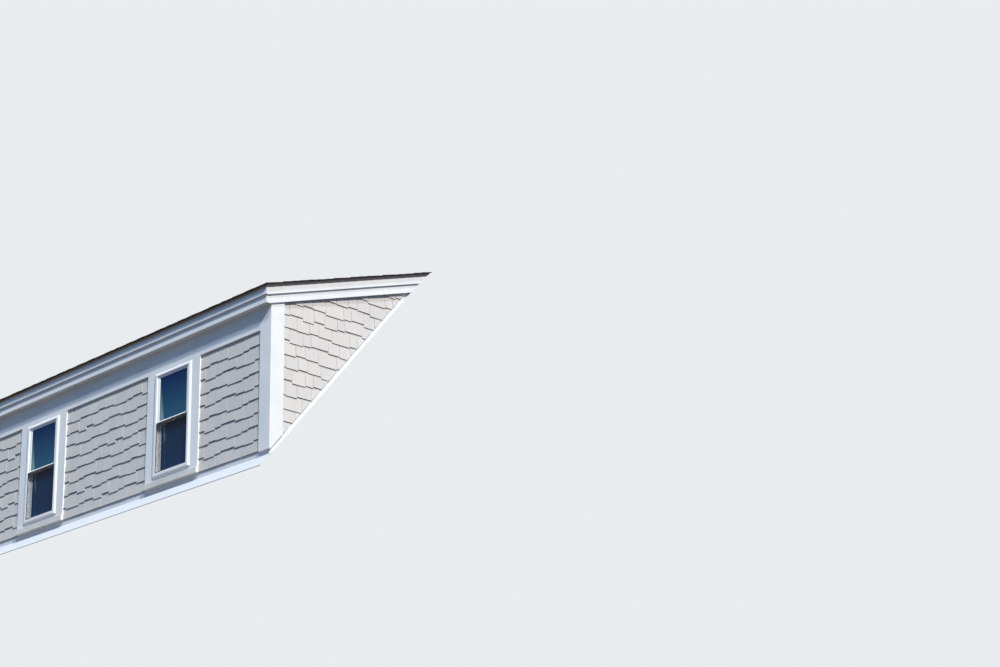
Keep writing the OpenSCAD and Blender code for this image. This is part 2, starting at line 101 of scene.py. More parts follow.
def edit(piece, *steps):
    """Runs (VERT or EDGE, test of a point, operator) steps on one object in edit mode."""
    only(piece)
    bpy.ops.object.mode_set(mode="EDIT")
    for kind, test, operate in steps:
        bpy.ops.mesh.select_mode(type=kind)
        bpy.ops.mesh.select_all(action="DESELECT")
        mesh = bmesh.from_edit_mesh(piece.data)
        for part in mesh.verts if kind == "VERT" else mesh.edges:
            corners = [part] if kind == "VERT" else part.verts
            if all(test(corner.co) for corner in corners):
                part.select_set(True)
        mesh.select_flush_mode()
        bmesh.update_edit_mesh(piece.data)
        operate()
    bpy.ops.object.mode_set(mode="OBJECT")
    return piece


def everywhere(co):
    return True


def cut(piece, point, normal):
    """Cuts off what lies beyond a plane, on its normal's side, and closes the cut."""
    return edit(piece, ("VERT", everywhere, lambda: bpy.ops.mesh.bisect(
        plane_co=point, plane_no=normal, clear_outer=True, use_fill=True)))


def copy_of(piece, matrix):
    """A copy with its own mesh, placed by moving its vertices."""
    twin = piece.copy()
    twin.data = piece.data.copy()
    twin.data.transform(matrix)
    bpy.context.collection.objects.link(twin)
    return twin


def set_tint(piece, value):
    """Gives all of a piece's points one number that its material can read."""
    tint = piece.data.attributes.get("tint") or piece.data.attributes.new("tint", "FLOAT", "POINT")
    tint.data.foreach_set("value", [value] * len(piece.data.vertices))


def merge(parts):
    """Makes one mesh of all parts, in the first of them."""
    bpy.ops.object.select_all(action="DESELECT")
    for part in parts:
        part.select_set(True)
    bpy.context.view_layer.objects.active = parts[0]
    bpy.ops.object.join()
    return parts[0]


def join(name, parts):
    """Merges parts into one named piece that rides on the dormer."""
    piece = merge(parts)
    piece.name = name
    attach(piece, "root")
    print(name, len(piece.data.polygons), "faces")
    return piece


def remove(pieces):
    for piece in pieces:
        bpy.data.objects.remove(piece)


# %% [markdown]
# ## One tab of a shingle panel
# The walls wear fibre-cement panels that pass for sawn shingles. A panel is a thin board
# 1219 mm wide. Slits cut it from below into tabs of uneven width, and the tabs end up to 36 mm
# apart. Each course hangs over the one below it, so its butt stands proud and throws a dark
# line. We model one tab for each width in the panels, starting from a cube: its tip is pushed
# thin, the front edges of its butt are eased with a bevel, and the butt is pulled out to stand
# on the course below. Stretching a single tab to all widths would spoil its eased edges. The
# two panels list their tabs from left to right, each with its width and how far it hangs down,
# in millimetres.

# %% Model the tab masters
FIRST_PANEL = [(176, 22), (135, 4), (186, 14), (262, 36), (112, 21), (186, 7), (162, 38)]
SECOND_PANEL = [(148, 2), (186, 32), (112, 17), (250, 3), (162, 25), (162, 34), (199, 15)]
RUN = FIRST_PANEL + SECOND_PANEL
SLIT = 5 * MM
TAB_LENGTH = 200 * MM
BUTT_T = 7.5 * MM
TIP_T = 3 * MM
LEAN = 8 * MM
EASE = 0.8 * MM


def wall_tab(width):
    """A tab that hangs from its tip, with its outside facing -Y."""
    piece = block("tab", Vector((0, -BUTT_T, 0)), Vector((width * MM - SLIT, 0, TAB_LENGTH)))
    is_tip = lambda co: co.z > TAB_LENGTH / 2
    is_front = lambda co: co.y < -BUTT_T / 2
    return edit(
        piece,
        ("VERT", lambda co: is_tip(co) and is_front(co),
         lambda: bpy.ops.transform.translate(value=(0, BUTT_T - TIP_T, 0))),
        ("EDGE", lambda co: is_front(co) and not is_tip(co),
         lambda: bpy.ops.mesh.bevel(offset=EASE, segments=1)),
        ("VERT", lambda co: co.z < TAB_LENGTH / 2,
         lambda: bpy.ops.transform.translate(value=(0, -LEAN, 0))),
    )


tab_masters = {width: wall_tab(width) for width in sorted({width for width, drop in RUN})}
print("tab masters:", sorted(tab_masters))
print("panel:", sum(width for width, drop in FIRST_PANEL), "mm")

# %% [markdown]
# ## Cutting to an edge
# Shingles are cut where they meet a corner, a casing or a slope. A boolean could cut a whole wall
# at once, but it stumbles over tabs that touch. So each piece is cut by itself with a bisect,
# only where a plane really crosses it, and every cut end is closed. Pieces that lie wholly past
# a plane are thrown away.

# %% Cut a piece back to planes
TOUCHING = 0.01 * MM


def beyond(piece, point, normal):
    """How many of a piece's corners lie past a plane, and how many there are."""
    sides = [(v.co - point).dot(normal) > TOUCHING for v in piece.data.vertices]
    return sum(sides), len(sides)


def trim(piece, planes):
    """The piece cut back to the planes, or None where nothing is left of it."""
    for point, normal in planes:
        outside, total = beyond(piece, point, normal)
        if outside == total:
            bpy.data.objects.remove(piece)
            return None
        if outside:
            cut(piece, point, normal)
    return piece


# %% [markdown]
# ## Panelled walls
# The panels are laid course by course, 152 mm apart. Two kinds of panel follow each other, and
# every course starts at another point of that run, as it does when the offcut of one course
# begins the next. Each wall is a set of rectangular fields between the trim. Above its slits a
# panel is one whole board, which closes the wall behind the slits of the course above it. One
# thin board behind each field stands for those.

# %% Lay one wall of panels
BACKING_T = 2.5 * MM


def course_tabs(x0, x1, start):
    """(left edge, width, drop) of a course's tabs; start is how far into the run it begins."""
    tabs = []
    left = x0 - start * MM
    while left < x1:
        for width, drop in RUN:
            if left + width * MM > x0 and left < x1:
                tabs.append((left, width, drop))
            left += width * MM
    return tabs


def panel_field(x0, x1, z0, z1, foot, starts, planes, rng):
    """The backing and all tabs of one rectangle, in the wall's own X and Z."""
    sides = [(Vector((x0, 0, 0)), Vector((-1, 0, 0))), (Vector((x1, 0, 0)), Vector((1, 0, 0))),
             (Vector((0, 0, z0)), Vector((0, 0, -1))), (Vector((0, 0, z1)), Vector((0, 0, 1)))]
    backing = block("backing", Vector((x0, -BACKING_T, z0)), Vector((x1, 0, z1)))
    laid = [trim(backing, planes)]
    set_tint(backing, 0.5)
    for course in range(-1, math.ceil((z1 - foot) / EXPOSURE)):
        for left, width, drop in course_tabs(x0, x1, starts[course % len(starts)]):
            height = foot + course * EXPOSURE - (drop + rng.uniform(-1, 1)) * MM
            place = Matrix.Translation((left + SLIT / 2, 0, height))
            piece = trim(copy_of(tab_masters[width], place), sides + planes)
            if piece:
                set_tint(piece, rng.random())
                laid.append(piece)
    return laid


def panel_wall(name, node, fields, planes, placed, seed):
    """A whole wall of panels that stands for one node of the frame."""
    rng = random.Random(seed)
    laid = []
    for field in fields:
        laid += panel_field(*field, planes, rng)
    for piece in laid:
        piece.data.transform(placed)
    wall = join(name, laid)
    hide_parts(node)


# %% [markdown]
# ## The front
# The corner boards and the window casings leave three fields on the front. Each of them lists,
# from its lowest course up, how many millimetres into the run of panels a course starts. Random
# starts would do on most walls, but these let the slits fall where the eye expects them.

# %% Lay the front panels
LEFT_STARTS = [700, 100, 1500, 400, 1900, 900, 2200, 300, 1300]
MIDDLE_STARTS = [600, 430, 780, 1260, 1990, 190, 1720, 800, 1960]
RIGHT_STARTS = [0, 1270, 0, 1270, 0, 1270, 0, 1270, 0]
sheathing_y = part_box("front_sheathing")[0].y
front_fields = [
    (x0, x1, wall_foot, front_high.z, wall_foot, starts) for x0, x1, starts in (
        (front_low.x, -window_x - CASING_HALF, LEFT_STARTS),
        (-window_x + CASING_HALF, window_x - CASING_HALF, MIDDLE_STARTS),
        (window_x + CASING_HALF, front_high.x, RIGHT_STARTS))]
panel_wall("front_shingles", "front_siding", front_fields, [],
           Matrix.Translation((0, sheathing_y, 0)), seed=11)

# %% [markdown]
# ## The cheeks
# The cheeks are built flat in the same way and then turned to face sideways. Their courses sit
# 50 mm higher than those of the front. Their lower edge follows the dormer's seat and their
# upper edge tucks under the rake board, so the two cutting planes come from the slopes and from
# the corners of the node's box.

# %% Lay the cheek panels
CHEEK_RISE = 50 * MM
CHEEK_STARTS = [1400, 1000, 0, 490, 2040, 1240, 2400, 0, 1280, 2250, 790, 2340, 1690, 1720, 600]


def cheek_planes(side):
    """Cutting planes in the wall's own X and Z; X runs back into the roof on the right cheek."""
    foot = Vector((side * cheek_low.y, 0, cheek_low.z))
    head = Vector((side * cheek_high.y, 0, cheek_high.z))
    return [(foot, Vector((side * SEAT_SLOPE, 0, -1)).normalized()),
            (head, Vector((-side * DORMER_SLOPE, 0, 1)).normalized())]


def cheek(name, node, side, seed):
    ends = sorted((side * cheek_low.y, side * cheek_high.y))
    turned = Matrix.Rotation(side * math.pi / 2, 4, "Z")
    placed = Matrix.Translation((side * cheek_low.x, 0, 0)) @ turned
    field = (ends[0], ends[1], cheek_low.z, cheek_high.z, wall_foot + CHEEK_RISE, CHEEK_STARTS)
    panel_wall(name, node, [field], cheek_planes(side), placed, seed)


cheek("right_shingles", "right_siding", 1, seed=23)
cheek("left_shingles", "left_siding", -1, seed=37)

# %% [markdown]
# ## The roof's shingles
# The roof wears laminated asphalt shingles: a felt strip a metre long with thicker tabs of
# random width bonded to its lower half, so that the roof looks like split wood. One strip is a
# flat box, and each tab is a box with an eased front edge on top of it. Four strips with other
# tabs are enough, because each course starts at another offset.

# %% Model the roof strips
ROOF_EXPOSURE = 127 * MM
STRIP_W = 1000 * MM
STRIP_L = 2 * ROOF_EXPOSURE
STRIP_T = 3 * MM
TAB_T = 3 * MM
TAB_WIDTHS = [width * MM for width in (60, 85, 110, 140, 175)]
ROOF_STRIPS = 4


def roof_strip(rng):
    """One laminated strip: X along the eave, Y up the roof, Z out of it."""
    parts = [block("strip", Vector((0, 0, 0)), Vector((STRIP_W - MM, STRIP_L, STRIP_T)))]
    set_tint(parts[0], rng.uniform(0, 0.35))
    x = rng.uniform(0, 60) * MM
    while x < STRIP_W - TAB_WIDTHS[0]:
        width = min(rng.choice(TAB_WIDTHS), STRIP_W - MM - x)
        tab = block("tab", Vector((x, 0, STRIP_T - 0.5 * MM)),
                    Vector((x + width, ROOF_EXPOSURE + 10 * MM, STRIP_T + TAB_T)))
        edit(tab, ("VERT", lambda co: co.y > ROOF_EXPOSURE,
                   lambda: bpy.ops.transform.resize(value=(rng.uniform(0.86, 0.97), 1, 1))),
             ("EDGE", lambda co: co.y < MM and co.z > STRIP_T,
              lambda: bpy.ops.mesh.bevel(offset=1 * MM, segments=1)))
        set_tint(tab, rng.uniform(0.35, 1))
        parts.append(tab)
        x += width + rng.choice(TAB_WIDTHS[:4])
    return merge(parts)


strip_rng = random.Random(5)
strips = [roof_strip(strip_rng) for _ in range(ROOF_STRIPS)]
print("roof strips:", [len(strip.data.polygons) for strip in strips])

# %% [markdown]
# The courses climb the deck from the eave. Each strip leans on the one below it, so its butt
# lifts by the thickness of a strip. The ends are cut off in line with the rakes, and the top is
# cut along the plane of the seat, which passes through the origin. The last few centimetres
# there get no course of their own, because shingles that come down from above lap over them.

# %% Lay the roof
SETBACK = 4 * MM
UNDERLAY = 2 * MM
roof_low, roof_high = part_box("roof_shingles")
eave = Vector((0, roof_low.y, roof_low.z))
on_roof = Matrix.Translation(eave) @ Matrix.Rotation(DORMER_ANGLE, 4, "X")
climb = math.atan2(STRIP_T + TAB_T, ROOF_EXPOSURE) * 0.5
seat_normal = Vector((0, SEAT_SLOPE, -1)).normalized()
roof_ends = [(Vector((roof_high.x, 0, 0)), Vector((1, 0, 0))),
             (Vector((roof_low.x, 0, 0)), Vector((-1, 0, 0))),
             (Vector((0, 0, 0)), seat_normal)]
roof_l = (roof_high.y - roof_low.y) / math.cos(DORMER_ANGLE)
laid = []
roof_rng = random.Random(8)
for course in range(-1, int(roof_l / ROOF_EXPOSURE)):
    start = roof_low.x - roof_rng.uniform(0.05, 0.95) * STRIP_W
    count = math.ceil((roof_high.x - start) / STRIP_W)
    for index in range(count):
        along = start + index * STRIP_W
        up = SETBACK + course * ROOF_EXPOSURE
        lean = Matrix.Rotation(-climb, 4, "X")
        lift = Matrix.Translation((along, up, UNDERLAY + STRIP_T))
        piece = copy_of(roof_rng.choice(strips), on_roof @ lift @ lean)
        planes = list(roof_ends)
        if course < 0:
            planes.append((eave + Vector((0, SETBACK, 0)), Vector((0, -1, 0))))
        piece = trim(piece, planes)
        if piece:
            laid.append(piece)
roof_cover = join("roof_cover", laid)
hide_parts("roof_shingles")
remove(list(tab_masters.values()) + strips)

# %% [markdown]
# ## Insect screens
# A half screen hangs outside each lower sash, in front of the upper one. It is a flat frame of
# dark bars with a mesh of glass-fibre threads, 0.15 mm thick and 1.6 mm apart. Seen at a slant,
# the mesh lets about two thirds of the light through on its way in and again on its way out, so
# the lower half of a window looks dimmer than the upper. A see-through sheet could stand for it,
# but threads dim the glass as they should from every side. An array repeats one thread across the
# screen and another one up it.

# %% Measure the screens
BAR_W = 11 * MM
TOP_BAR_W = 20 * MM
SIDE_BAR_W = 4 * MM
SCREEN_T = 7 * MM
JAMB_W = 54.5 * MM
SILL_RISE = 87 * MM
RAIL_LAP = 14 * MM
PLAY = 1.5 * MM
THREAD = 0.15 * MM
THREAD_PITCH = 1.6 * MM
ring_low, ring_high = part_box("window_frames")
sash_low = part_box("upper_sashes")[0]
screen_half = ring_high.x - window_x - JAMB_W
screen_foot = ring_low.z + SILL_RISE
screen_head = sash_low.z + RAIL_LAP
screen_back = sash_low.y - PLAY
print("a screen is", round(2 * screen_half, 3), "by", round(screen_head - screen_foot, 3), "m")


# %% Hang the screens
def repeated(piece, step, count):
    """One piece turned into a row of copies of itself."""
    only(piece)
    row = piece.modifiers.new("row", "ARRAY")
    row.use_relative_offset = False
    row.use_constant_offset = True
    row.constant_offset_displace = step
    row.count = count
    bpy.ops.object.modifier_apply(modifier=row.name)
    return piece


def screen_bars(middle):
    """Four bars round one screen; the side bars sit mostly in the window frame's track."""
    outer, inner = screen_half, screen_half - SIDE_BAR_W
    front = screen_back - SCREEN_T
    low, high = screen_foot + BAR_W, screen_head - TOP_BAR_W
    bars = [(-outer, outer, screen_foot, low), (-outer, outer, high, screen_head),
            (-outer, -inner, low, high), (inner, outer, low, high)]
    return [block("bar", Vector((middle + x0, front, z0)), Vector((middle + x1, screen_back, z1)))
            for x0, x1, z0, z1 in bars]


def screen_threads(middle):
    """Upright threads behind level ones, which run a millimetre into the bars at each end."""
    inner = screen_half - SIDE_BAR_W + MM
    low, high = screen_foot + BAR_W - MM, screen_head - TOP_BAR_W + MM
    y = screen_back - SCREEN_T / 2
    left = middle - inner
    upright = block("thread", Vector((left, y, low)), Vector((left + THREAD, y + THREAD, high)))
    level = block("thread", Vector((left, y - THREAD, low)),
                  Vector((middle + inner, y, low + THREAD)))
    return [repeated(upright, (THREAD_PITCH, 0, 0), int(2 * inner / THREAD_PITCH)),
            repeated(level, (0, 0, THREAD_PITCH), int((high - low) / THREAD_PITCH))]


screen_frames = join("screen_frames", screen_bars(-window_x) + screen_bars(window_x))
screen_mesh = join("screen_mesh", screen_threads(-window_x) + screen_threads(window_x))

# %% [markdown]
# ## Materials
# Every finish starts from what the real surface is. Colours are written as sRGB hex values, as
# a paint card gives them, and one function turns them into the linear values that a shader
# needs. Another adds a node with its settings and links, so that every material reads as a
# short list of nodes, from the space of its pattern to its surface.

# %% Material helpers
def hex_colour(text):
    """Linear RGBA of an sRGB hex value such as 'f2f2f0'."""
    shares = [int(text[i:i + 2], 16) / 255 for i in (0, 2, 4)]
    linear = [s / 12.92 if s <= 0.04045 else ((s + 0.055) / 1.055) ** 2.4 for s in shares]
    return (*linear, 1)


def in_use(sockets, name=None):
    """The first socket, or the first of that name, that the node's settings leave switched on."""
    return next(s for s in sockets if s.enabled and name in (None, s.name))


def add(tree, kind, inputs=None, **settings):
    """Adds a node; a node or socket among the inputs is linked, and any other value is set."""
    made = tree.nodes.new("ShaderNode" + kind)
    for name, value in settings.items():
        setattr(made, name, value)
    for name, value in (inputs or {}).items():
        target = made.inputs[name] if isinstance(name, int) else in_use(made.inputs, name)
        if isinstance(value, bpy.types.Node):
            value = in_use(value.outputs)
        if isinstance(value, bpy.types.NodeSocket):
            tree.links.new(value, target)
        else:
            target.default_value = value
    return made


def new_material(name):
    """A material without nodes, and its tree to add them to."""
    material = bpy.data.materials.new(name)
    material.use_nodes = True
    material.node_tree.nodes.clear()
    return material, material.node_tree


def pattern_space(tree, sizes, turn=0.0, shift=None):
    """Object coordinates divided by a real size in metres along X, Y and Z, turned about X."""
    place = add(tree, "TexCoord").outputs["Object"]
    if shift:
        place = add(tree, "VectorMath", {0: place, 1: shift}, operation="ADD")
    return add(tree, "Mapping", {"Vector": place, "Rotation": (turn, 0, 0), "Scale": sizes},
               vector_type="TEXTURE")


def finish(material, *names):
    """Puts a material on pieces and nodes by name."""
    for name in names:
        piece = bpy.data.objects[name]
        piece.data.materials.clear()
        piece.data.materials.append(material)
    print(material.name, "on", ", ".join(names))


# %% [markdown]
# ## Painted boards
# The trim is sawn and planed softwood under white exterior paint. A brush leaves fine streaks
# along each board, and weather leaves a faint grey on them. Noise that is stretched along the
# board draws such streaks at any length, which a picture of paint would not. They are 5 mm
# wide, coarser than real ones, so that they show. The same recipe serves boards that run along
# X, stand upright or follow the roof: only the long side of the pattern changes.

# %% White paint
PAINT_WHITE = "f1f1ee"
PAINT_DULL = "dfe0de"


def painted_board(name, sizes, turn=0.0, light=PAINT_WHITE, dull=PAINT_DULL):
    material, tree = new_material(name)
    streaks = add(tree, "TexNoise", {
        "Vector": pattern_space(tree, sizes, turn), "Scale": 1, "Detail": 4})
    clouds = add(tree, "TexNoise", {
        "Vector": pattern_space(tree, (0.35, 0.35, 0.35)), "Scale": 1, "Detail": 3})
    weather = add(tree, "MapRange", {
        "Value": clouds, "From Min": 0.45, "From Max": 0.75, "To Max": 0.5})
    weathered = add(tree, "Mix", {
        "Factor": weather, "A": hex_colour(light), "B": hex_colour(dull)}, data_type="RGBA")
    wear = add(tree, "MapRange", {
        "Value": streaks, "From Min": 0.55, "From Max": 0.8, "To Max": 0.35})
    worn = add(tree, "Mix", {
        "Factor": wear, "A": weathered, "B": hex_colour(dull)}, data_type="RGBA")
    brushed = add(tree, "Bump", {"Height": streaks, "Distance": 0.4 * MM, "Strength": 0.6})
    paint = add(tree, "BsdfPrincipled", {
        "Base Color": worn, "Roughness": 0.5, "Normal": brushed})
    add(tree, "OutputMaterial", {"Surface": paint})
    return material


STREAK = 5 * MM
BOARD = 700 * MM
finish(painted_board("paint_on_level_boards", (BOARD, STREAK, STREAK)),
       "frieze_board", "fascia_board", "fascia_shadow_board", "soffit_board")
finish(painted_board("paint_on_upright_boards", (STREAK, STREAK, BOARD)),
       "left_corner_board", "right_corner_board", "window_casings")
finish(painted_board("paint_on_rake_boards", (STREAK, BOARD, STREAK), DORMER_ANGLE),
       "left_rake_board", "right_rake_board", "left_rake_shadow", "right_rake_shadow")
finish(painted_board("paint_on_sills", (BOARD, STREAK, STREAK), light="e6e2da", dull="c9c3b8"),
       "window_sills")

# %% [markdown]
# ## Painted fibre-cement
# The wall panels are pressed with the grain of sawn cedar and painted at the works in one pale
# grey. All tabs of a panel share that colour, so only dust and the batch shift it a little. The
# tint that each tab got when it was laid does that, and it also moves the grain sideways, so
# that no grain line runs on across a slit. The cut butts face down and are bare, and the colour
# turns dark where the surface's normal points down: partly their bare edge, and partly painted
# shade that deepens the dark lines under the butts.

# %% Panel paint
def painted_panel():
    material, tree = new_material("painted_fibre_cement")
    tint = add(tree, "Attribute", attribute_name="tint").outputs["Fac"]
    shift = add(tree, "VectorMath", {
        "Vector": (7.3, 7.3, 2.9), "Scale": tint}, operation="SCALE")
    grain = add(tree, "TexNoise", {
        "Vector": pattern_space(tree, (5 * MM, 5 * MM, 180 * MM), shift=shift),
        "Scale": 1, "Detail": 5, "Roughness": 0.6})
    dust = add(tree, "TexNoise", {
        "Vector": pattern_space(tree, (90 * MM, 90 * MM, 160 * MM)), "Scale": 1, "Detail": 3})
    body = add(tree, "Mix", {
        "Factor": tint, "A": hex_colour("dbd5cc"), "B": hex_colour("d3cfc8")},
        data_type="RGBA")
    in_grain = add(tree, "MapRange", {
        "Value": grain, "From Min": 0.5, "From Max": 0.8, "To Max": 0.3})
    grained = add(tree, "Mix", {
        "Factor": in_grain, "A": body, "B": hex_colour("c1bcb5")}, data_type="RGBA")
    in_dust = add(tree, "MapRange", {
        "Value": dust, "From Min": 0.5, "From Max": 0.8, "To Max": 0.3})
    dusty = add(tree, "Mix", {
        "Factor": in_dust, "A": grained, "B": hex_colour("c5c0b8")}, data_type="RGBA")
    # Painted shade: faces that point down turn dark, to deepen the lines under the butts.
    normal = add(tree, "SeparateXYZ", {"Vector": add(tree, "TexCoord").outputs["Normal"]})
    painted_butt_shade_mask = add(tree, "MapRange", {
        "Value": normal.outputs["Z"], "From Min": -0.3, "From Max": -0.7})
    with_painted_butt_shade = add(tree, "Mix", {
        "Factor": painted_butt_shade_mask, "A": dusty, "B": hex_colour("4f4c48")}, data_type="RGBA")
    pressed = add(tree, "Bump", {"Height": grain, "Distance": 1.0 * MM, "Strength": 0.8})
    panel = add(tree, "BsdfPrincipled", {
        "Base Color": with_painted_butt_shade, "Roughness": 0.75, "Normal": pressed})
    add(tree, "OutputMaterial", {"Surface": panel})
    return material


finish(painted_panel(), "front_shingles", "left_shingles", "right_shingles")

# %% [markdown]
# ## Asphalt shingles
# Stone granules are pressed into the asphalt, in blends of tan, brown and dark brown that
# change from tab to tab. Modelled one by one they would be millions, so a pattern of cells
# stands for them. It draws them 4 mm wide, about twice their real size, so that they show as
# grit. The tab's tint picks its blend. No granules stick to the cut edges, so faces that look
# away from the roof's own direction show the black asphalt.

# %% Roof granules
def granules():
    material, tree = new_material("asphalt_granules")
    tint = add(tree, "Attribute", attribute_name="tint").outputs["Fac"]
    grit = add(tree, "TexVoronoi", {
        "Vector": pattern_space(tree, (4 * MM, 4 * MM, 4 * MM)), "Scale": 1})
    grain = add(tree, "SeparateColor", {"Color": grit.outputs["Color"]})
    cloud = add(tree, "TexNoise", {
        "Vector": pattern_space(tree, (90 * MM, 60 * MM, 60 * MM)), "Scale": 1, "Detail": 4})
    blend = add(tree, "MapRange", {"Value": tint, "From Min": 0.3, "From Max": 0.9})
    warm = add(tree, "Mix", {
        "Factor": blend, "A": hex_colour("8a5c3c"), "B": hex_colour("bd8c5d")},
        data_type="RGBA")
    in_cloud = add(tree, "MapRange", {"Value": cloud, "From Min": 0.42, "From Max": 0.65})
    patched = add(tree, "Mix", {
        "Factor": in_cloud, "A": warm, "B": hex_colour("a06a48")}, data_type="RGBA")
    pale_grains = add(tree, "MapRange", {
        "Value": grain, "From Min": 0.55, "From Max": 1, "To Max": 0.55})
    gritty = add(tree, "Mix", {
        "Factor": pale_grains, "A": patched, "B": hex_colour("d8b48c")}, data_type="RGBA")
    dark_grains = add(tree, "MapRange", {
        "Value": grain, "From Min": 0.3, "From Max": 0, "To Max": 0.6})
    speckled = add(tree, "Mix", {
        "Factor": dark_grains, "A": gritty, "B": hex_colour("4c3526")}, data_type="RGBA")
    out_of_roof = (0, -math.sin(DORMER_ANGLE), math.cos(DORMER_ANGLE))
    facing = add(tree, "VectorMath", {
        0: add(tree, "TexCoord").outputs["Normal"], 1: out_of_roof}, operation="DOT_PRODUCT")
    in_edge = add(tree, "MapRange", {"Value": facing, "From Min": 0.9, "From Max": 0.6})
    edged = add(tree, "Mix", {
        "Factor": in_edge, "A": speckled, "B": hex_colour("2b241f")}, data_type="RGBA")
    gravelly = add(tree, "Bump", {"Height": grit, "Distance": 1.0 * MM, "Strength": 0.5})
    shingle = add(tree, "BsdfPrincipled", {
        "Base Color": edged, "Roughness": 0.9, "Normal": gravelly})
    add(tree, "OutputMaterial", {"Surface": shingle})
    return material


finish(granules(), "roof_cover")

# %% [markdown]
# ## Sheet metal
# The flashings are painted aluminium bent from coil, white at the walls and clay at the roof's
# edge. Paint hides the metal's mirror, so it is no metal to the shader. Thin sheet never lies
# quite flat, so a broad soft bump makes its highlights wander, and dust dulls it in patches.
# The screens' bars are rolled from thicker strip and stay straight, and their threads are glass
# fibre in a dull black coat.

# %% Painted aluminium
def coil_metal(name, colour, dust, roughness, buckle=3 * MM):
    material, tree = new_material(name)
    wave = add(tree, "TexNoise", {
        "Vector": pattern_space(tree, (180 * MM, 60 * MM, 60 * MM)), "Scale": 1, "Detail": 2})
    dirt = add(tree, "TexNoise", {
        "Vector": pattern_space(tree, (25 * MM, 25 * MM, 25 * MM)), "Scale": 1, "Detail": 5})
    in_dust = add(tree, "MapRange", {
        "Value": dirt, "From Min": 0.5, "From Max": 0.75, "To Max": 0.5})
    dusty = add(tree, "Mix", {
        "Factor": in_dust, "A": hex_colour(colour), "B": hex_colour(dust)}, data_type="RGBA")
    buckled = add(tree, "Bump", {"Height": wave, "Distance": buckle, "Strength": 0.5})
    coat = add(tree, "BsdfPrincipled", {
        "Base Color": dusty, "Roughness": roughness, "Metallic": 0, "Normal": buckled})
    add(tree, "OutputMaterial", {"Surface": coat})
    return material


STRAIGHT = 0.1 * MM
finish(coil_metal("white_coil_aluminium", "dfe1e2", "c8c9c7", 0.4),
       "apron_flashing", "left_step_flashing", "right_step_flashing")
finish(coil_metal("dark_screen_bars", "2b2928", "353230", 0.7, STRAIGHT), "screen_frames")
finish(coil_metal("glass_fibre_thread", "1e2124", "2a2c2f", 0.9, STRAIGHT), "screen_mesh")
finish(coil_metal("clay_coil_aluminium", "d0baa6", "d8c8b8", 0.45), "drip_edge")

# %% [markdown]
# ## Window frames
# The window frames and sashes are extruded white vinyl, smooth and a little glossy. A faint
# haze of dust and a very shallow bump keep the gloss from looking like a drawing.

# %% Vinyl
def vinyl():
    material, tree = new_material("extruded_white_vinyl")
    haze = add(tree, "TexNoise", {
        "Vector": pattern_space(tree, (40 * MM, 40 * MM, 40 * MM)), "Scale": 1, "Detail": 4})
    in_haze = add(tree, "MapRange", {
        "Value": haze, "From Min": 0.5, "From Max": 0.8, "To Max": 0.3})
    hazy = add(tree, "Mix", {
        "Factor": in_haze, "A": hex_colour("f6f6f5"), "B": hex_colour("e2e3e2")},
        data_type="RGBA")
    drawn = add(tree, "Bump", {"Height": haze, "Distance": 0.2 * MM, "Strength": 0.3})
    profile = add(tree, "BsdfPrincipled", {
        "Base Color": hazy, "Roughness": 0.32, "IOR": 1.52, "Normal": drawn})
    add(tree, "OutputMaterial", {"Surface": profile})
    return material


finish(vinyl(), "window_frames", "upper_sashes", "lower_sashes")

# %% [markdown]
# ## Glass
# The glass is a sealed double unit with a low-emission coat. It looks dark blue from outside in
# daylight, because little light comes back from inside and the coat mirrors little more than
# the sky. Here the glass is opaque, and that blue is painted reflection of the sky in its colour,
# deep at the head of the upper pane and paler lower down. A pale curtain is drawn aside behind
# each window. It could hang there as a sheet, but then the glass would have to be clear and the
# room behind it lit. What shows is only its sunlit edge on the left of the upper pane and one
# sunlit fold in the lower, so the glass gets both as soft-edged patches of colour: painted
# sunlight on the curtain, bounded by a slanting painted shadow edge and darker towards the head
# as painted shade. Heights are in the dormer's own Z, and distances across are measured from
# each window's middle.

# %% Coated glass
# Where the painted reflection, the painted sunlit curtain and its painted shadow edge lie.
GLASS_HEAD, GLASS_FOOT = 1.25, 0.2
RAIL_FOOT, RAIL_HEAD = 0.72, 0.74
UPPER_FOOT, LOWER_HEAD = 0.8, 0.7
SHADE_EDGE_FOOT, FOLD_FOOT = 0.75, 0.44
SHADE_EDGE_AT_HEAD, SHADE_EDGE_AT_FOOT = -0.25, -0.16
FOLD_LEFT_AT_HEAD, FOLD_LEFT_AT_FOOT = -0.246, -0.181
FOLD_RIGHT, FOLD_RIGHT_SOFT = -0.185, -0.17


